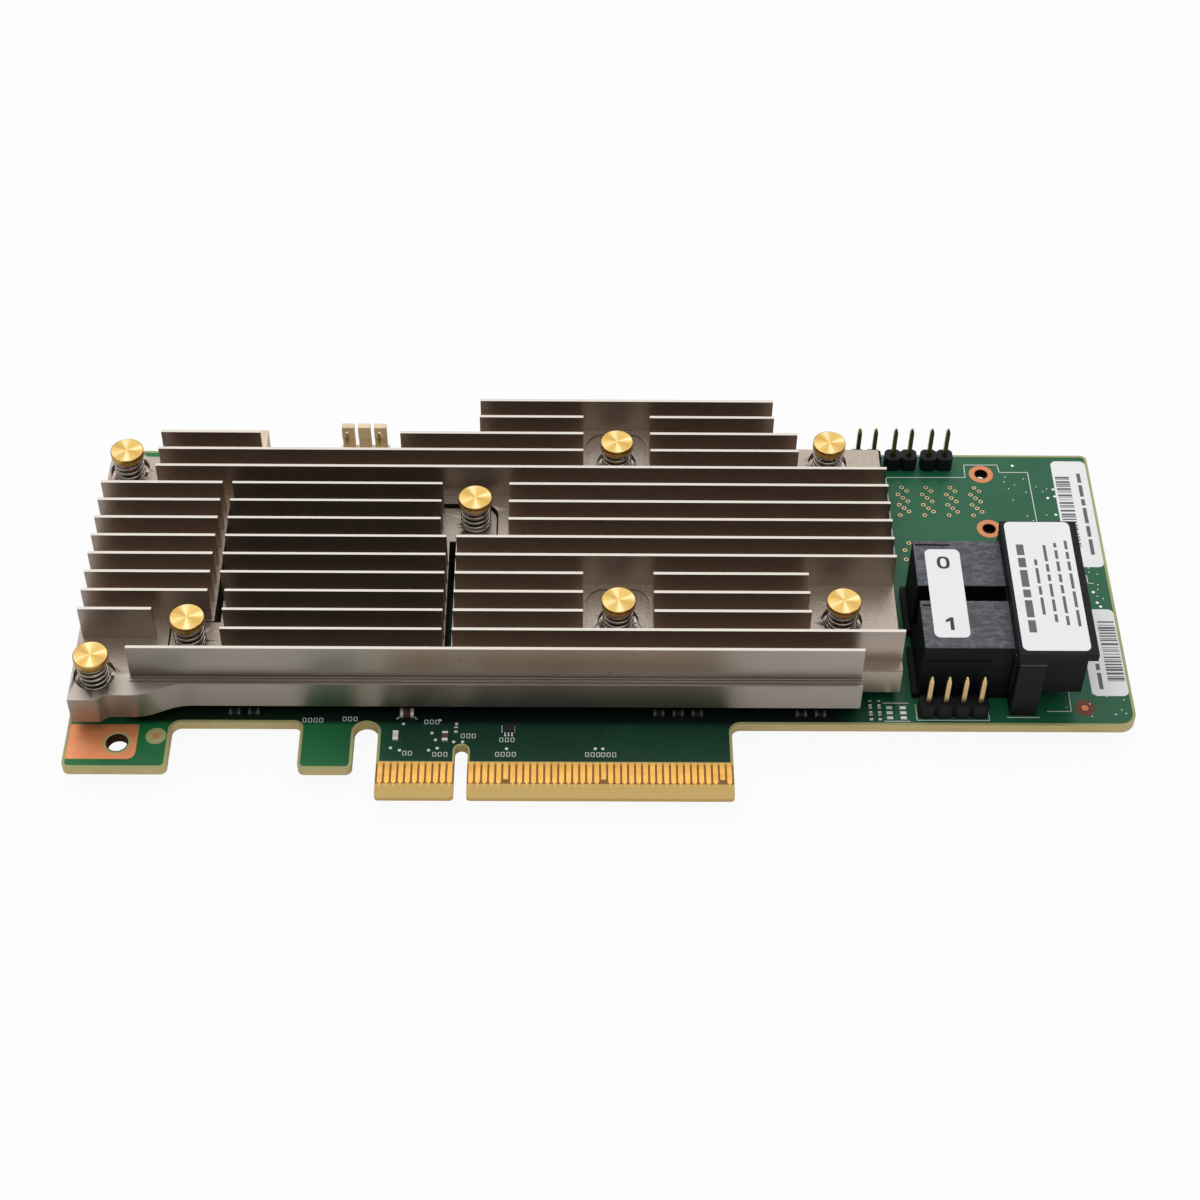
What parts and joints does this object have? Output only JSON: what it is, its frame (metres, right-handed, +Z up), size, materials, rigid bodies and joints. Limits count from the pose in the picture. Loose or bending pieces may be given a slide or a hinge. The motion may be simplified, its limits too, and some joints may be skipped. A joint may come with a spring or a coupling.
{
  "type": "raid controller card",
  "caption": "Low-profile storage controller card: circuit board with gold edge connector, finned heat sinks on spring-loaded push pins, twin cable receptacle and pin headers.",
  "frame": {"origin": "centre of the board's outline in plan, level with the tips of the push pins below it", "axes": "+X along the board towards the cable receptacle, +Y from the edge connector towards the far long edge, +Z up from the component side"},
  "size_m": [0.1556, 0.0688, 0.0178],
  "materials": {
    "solder_mask": "satin green solder mask on glass-fibre board",
    "contact_gold": "gold plate",
    "heat_sink_metal": "satin nickel-toned plate",
    "pin_brass": "turned brass",
    "spring_steel": "bright spring wire",
    "chip_black": "moulded epoxy",
    "thermal_pad": "soft filled silicone",
    "inductor_grey": "pressed ferrite",
    "receptacle_black": "moulded, fine matt",
    "label_white": "smooth label stock",
    "header_black": "moulded",
    "connector_ivory": "moulded, unpigmented",
    "chip_ceramic": "small fired ceramic parts"
  },
  "bodies": {
    "root": {"circuit_board": "solder_mask", "edge_contacts_component_side": "contact_gold", "edge_contacts_solder_side": "contact_gold", "main_heat_sink": "heat_sink_metal", "centre_heat_sink": "heat_sink_metal", "push_pin_1": "pin_brass", "push_pin_2": "pin_brass", "push_pin_3": "pin_brass", "push_pin_4": "pin_brass", "push_pin_5": "pin_brass", "push_pin_6": "pin_brass", "push_pin_7": "pin_brass", "push_pin_8": "pin_brass", "pin_spring_1": "spring_steel", "pin_spring_2": "spring_steel", "pin_spring_3": "spring_steel", "pin_spring_4": "spring_steel", "pin_spring_5": "spring_steel", "pin_spring_6": "spring_steel", "pin_spring_7": "spring_steel", "pin_spring_8": "spring_steel", "controller_chip": "chip_black", "controller_thermal_pad": "thermal_pad", "memory_chip_1": "chip_black", "memory_chip_2": "chip_black", "memory_chip_3": "chip_black", "memory_chip_4": "chip_black", "memory_chip_5": "chip_black", "flash_chip": "chip_black", "thermal_pads": "thermal_pad", "power_inductors": "inductor_grey", "receptacle_housing": "receptacle_black", "contact_module_0": "receptacle_black", "contact_module_1": "receptacle_black", "port_contacts_0": "contact_gold", "port_contacts_1": "contact_gold", "hood_label": "label_white", "port_label": "label_white", "board_label_far": "label_white", "board_label_near": "label_white", "serial_header_housing": "header_black", "serial_header_pins": "contact_gold", "signal_header_housing_1": "header_black", "signal_header_housing_2": "header_black", "signal_header_housing_3": "header_black", "signal_header_pins": "contact_gold", "lock_header_housing": "connector_ivory", "lock_header_pins": "contact_gold", "wire_connector_housing": "connector_ivory", "wire_connector_pins": "contact_gold", "chip_parts": "chip_ceramic", "solder_side_capacitors": "chip_ceramic", "six_lead_package": "chip_black"}
  },
  "joints": []
}
